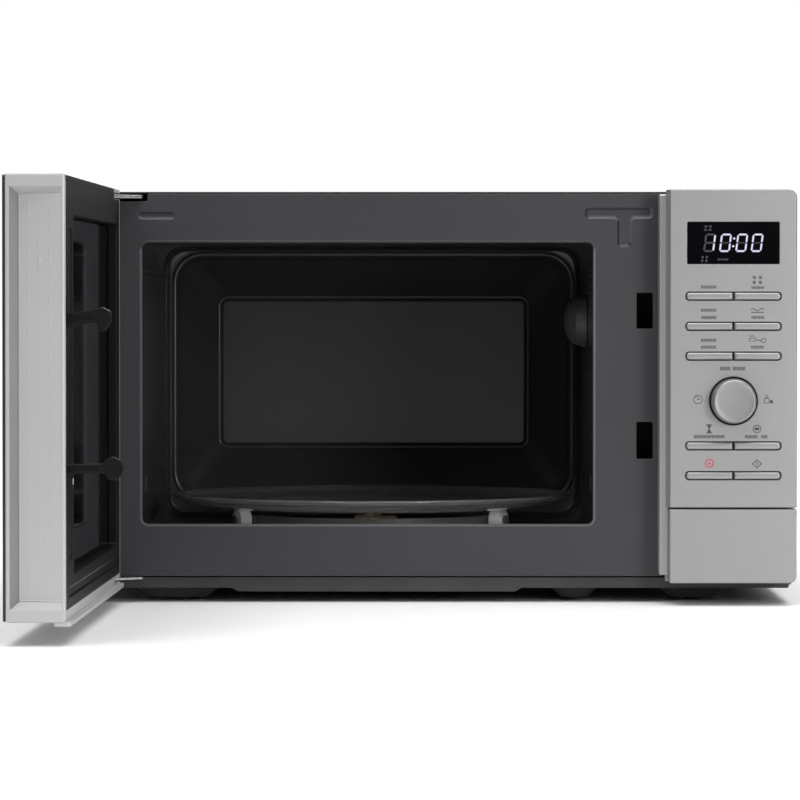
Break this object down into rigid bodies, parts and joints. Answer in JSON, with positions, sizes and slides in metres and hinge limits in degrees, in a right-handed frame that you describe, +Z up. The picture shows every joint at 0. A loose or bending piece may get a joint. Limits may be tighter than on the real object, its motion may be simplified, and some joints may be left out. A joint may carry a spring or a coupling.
{
  "type": "microwave oven",
  "caption": "Compact countertop microwave oven with a side-hinged door, glass turntable on a roller ring, and a control column with display, keys, knob and push-button release.",
  "frame": {"origin": "middle of the box of the whole object with the door open, at the height of the feet", "axes": "+Z up; +Y from the front of the oven to its back; +X towards the control panel's side"},
  "size_m": [0.4996, 0.7636, 0.28],
  "materials": {
    "charcoal_enamel": "satin charcoal enamel",
    "black_enamel": "glossy black enamel",
    "cabinet_black": "fine textured black paint",
    "zinc_steel": "zinc plated",
    "base_grey": "dull dark grey steel",
    "black_rubber": "matt",
    "silver_plastic": "satin silver lacquer",
    "brushed_silver": "brushed",
    "knob_silver": "turned face, brushed",
    "key_silver": "satin silver lacquer",
    "black_plastic": "fine grained black",
    "gloss_black": "high gloss",
    "door_glass": "dark tinted",
    "clear_glass": "clear",
    "white_plastic": "satin",
    "cream_plastic": "satin",
    "grey_plastic": "satin",
    "feed_cover_grey": "matt mica grey",
    "circuit_green": "solder mask"
  },
  "bodies": {
    "cabinet": {"base_pan": "base_grey", "front_plate": "charcoal_enamel", "oven_cavity": "black_enamel", "outer_cover": "cabinet_black", "rear_panel": "cabinet_black", "foot_front_left": "black_rubber", "foot_front_right": "black_rubber", "foot_rear_left": "black_rubber", "foot_rear_right": "black_rubber", "cord_gland": "black_plastic", "waveguide_cover": "feed_cover_grey", "turntable_motor": "zinc_steel", "waveguide": "zinc_steel", "magnetron": "zinc_steel", "inverter_unit": "circuit_green", "fan_housing": "grey_plastic", "air_duct": "grey_plastic", "fan_motor": "zinc_steel", "oven_lamp": "white_plastic", "latch_board": "grey_plastic", "primary_switch": "grey_plastic", "secondary_switch": "grey_plastic", "monitor_switch": "black_plastic", "panel_base": "silver_plastic", "control_fascia": "brushed_silver", "display_window": "gloss_black", "display_module": "black_plastic", "control_board": "circuit_green", "encoder": "zinc_steel", "hinge_upper": "zinc_steel", "hinge_lower": "zinc_steel"},
    "door": {"door_frame": "silver_plastic", "door_skin": "brushed_silver", "door_glass": "door_glass", "door_screen_panel": "black_enamel", "door_inner_window": "gloss_black", "choke_cover": "black_plastic", "latch_spring": "zinc_steel"},
    "latch": {"latch_hooks": "black_plastic"},
    "spindle": {"turntable_coupler": "cream_plastic"},
    "tray": {"turntable_tray": "clear_glass"},
    "roller_ring": {"roller_ring": "cream_plastic"},
    "roller_1": {"roller_1": "white_plastic"},
    "roller_2": {"roller_2": "white_plastic"},
    "roller_3": {"roller_3": "white_plastic"},
    "fan": {"fan_blade": "grey_plastic"},
    "knob": {"control_knob": "knob_silver"},
    "release_button": {"door_release_button": "silver_plastic"},
    "release_lever": {"release_lever": "white_plastic"},
    "key_1_left": {"key_1_left": "key_silver"},
    "key_1_right": {"key_1_right": "key_silver"},
    "key_2_left": {"key_2_left": "key_silver"},
    "key_2_right": {"key_2_right": "key_silver"},
    "key_3_left": {"key_3_left": "key_silver"},
    "key_3_right": {"key_3_right": "key_silver"},
    "key_4_left": {"key_4_left": "key_silver"},
    "key_4_right": {"key_4_right": "key_silver"},
    "key_5_left": {"key_5_left": "key_silver"},
    "key_5_right": {"key_5_right": "key_silver"}
  },
  "joints": [
    {"name": "door_hinge", "type": "hinge", "parent": "cabinet", "child": "door", "pos_m": [-0.22616, 0.00145, 0.147], "axis": [0, 0, 1], "range_deg": [-9, 91]},
    {"name": "latch_slide", "type": "slide", "parent": "door", "child": "latch", "axis": [0, 0, 1], "range_m": [0, 0.004], "stiffness_N_per_m": 300, "springref_m": -0.004, "deforming": ["latch_spring"]},
    {"name": "spindle_turn", "type": "hinge", "parent": "cabinet", "child": "spindle", "pos_m": [-0.03816, 0.18245, 0.047], "axis": [0, 0, 1], "continuous": true},
    {"name": "tray_lift", "type": "slide", "parent": "spindle", "child": "tray", "axis": [0, 0, 1], "range_m": [0, 0.03]},
    {"name": "ring_turn", "type": "hinge", "parent": "cabinet", "child": "roller_ring", "pos_m": [-0.03816, 0.18245, 0.051], "axis": [0, 0, 1], "continuous": true},
    {"name": "roller_1_spin", "type": "hinge", "parent": "roller_ring", "child": "roller_1", "pos_m": [-0.03816, 0.28645, 0.051], "axis": [0, 1, 0], "continuous": true},
    {"name": "roller_2_spin", "type": "hinge", "parent": "roller_ring", "child": "roller_2", "pos_m": [-0.12823, 0.13045, 0.051], "axis": [-0.866, -0.5, 0], "continuous": true},
    {"name": "roller_3_spin", "type": "hinge", "parent": "roller_ring", "child": "roller_3", "pos_m": [0.0519, 0.13045, 0.051], "axis": [0.866, -0.5, 0], "continuous": true},
    {"name": "fan_spin", "type": "hinge", "parent": "cabinet", "child": "fan", "pos_m": [0.18684, 0.35195, 0.18], "axis": [0, 1, 0], "continuous": true},
    {"name": "knob_turn", "type": "hinge", "parent": "cabinet", "child": "knob", "pos_m": [0.20724, -0.02255, 0.1376], "axis": [0, -1, 0], "continuous": true},
    {"name": "release_press", "type": "hinge", "parent": "cabinet", "child": "release_button", "pos_m": [0.20684, -0.01155, 0.017], "axis": [-1, 0, 0], "range_deg": [0, 5], "stiffness_Nm_per_rad": 0.6, "springref_deg": -4.58},
    {"name": "lever_lift", "type": "hinge", "parent": "cabinet", "child": "release_lever", "pos_m": [0.16784, 0.06745, 0.06], "axis": [-1, 0, 0], "range_deg": [0, 6]},
    {"name": "press_1_left", "type": "slide", "parent": "cabinet", "child": "key_1_left", "axis": [0, 1, 0], "range_m": [0, 0.001], "stiffness_N_per_m": 400, "springref_m": -0.0008},
    {"name": "press_1_right", "type": "slide", "parent": "cabinet", "child": "key_1_right", "axis": [0, 1, 0], "range_m": [0, 0.001], "stiffness_N_per_m": 400, "springref_m": -0.0008},
    {"name": "press_2_left", "type": "slide", "parent": "cabinet", "child": "key_2_left", "axis": [0, 1, 0], "range_m": [0, 0.001], "stiffness_N_per_m": 400, "springref_m": -0.0008},
    {"name": "press_2_right", "type": "slide", "parent": "cabinet", "child": "key_2_right", "axis": [0, 1, 0], "range_m": [0, 0.001], "stiffness_N_per_m": 400, "springref_m": -0.0008},
    {"name": "press_3_left", "type": "slide", "parent": "cabinet", "child": "key_3_left", "axis": [0, 1, 0], "range_m": [0, 0.001], "stiffness_N_per_m": 400, "springref_m": -0.0008},
    {"name": "press_3_right", "type": "slide", "parent": "cabinet", "child": "key_3_right", "axis": [0, 1, 0], "range_m": [0, 0.001], "stiffness_N_per_m": 400, "springref_m": -0.0008},
    {"name": "press_4_left", "type": "slide", "parent": "cabinet", "child": "key_4_left", "axis": [0, 1, 0], "range_m": [0, 0.001], "stiffness_N_per_m": 400, "springref_m": -0.0008},
    {"name": "press_4_right", "type": "slide", "parent": "cabinet", "child": "key_4_right", "axis": [0, 1, 0], "range_m": [0, 0.001], "stiffness_N_per_m": 400, "springref_m": -0.0008},
    {"name": "press_5_left", "type": "slide", "parent": "cabinet", "child": "key_5_left", "axis": [0, 1, 0], "range_m": [0, 0.001], "stiffness_N_per_m": 400, "springref_m": -0.0008},
    {"name": "press_5_right", "type": "slide", "parent": "cabinet", "child": "key_5_right", "axis": [0, 1, 0], "range_m": [0, 0.001], "stiffness_N_per_m": 400, "springref_m": -0.0008}
  ],
  "couplings": [
    {"joint": "ring_turn", "follows": "spindle_turn", "ratio": 0.5},
    {"joint": "roller_1_spin", "follows": "spindle_turn", "ratio": -7.2222},
    {"joint": "roller_2_spin", "follows": "spindle_turn", "ratio": -7.2222},
    {"joint": "roller_3_spin", "follows": "spindle_turn", "ratio": -7.2222},
    {"joint": "lever_lift", "follows": "release_press", "ratio": 1.1}
  ]
}
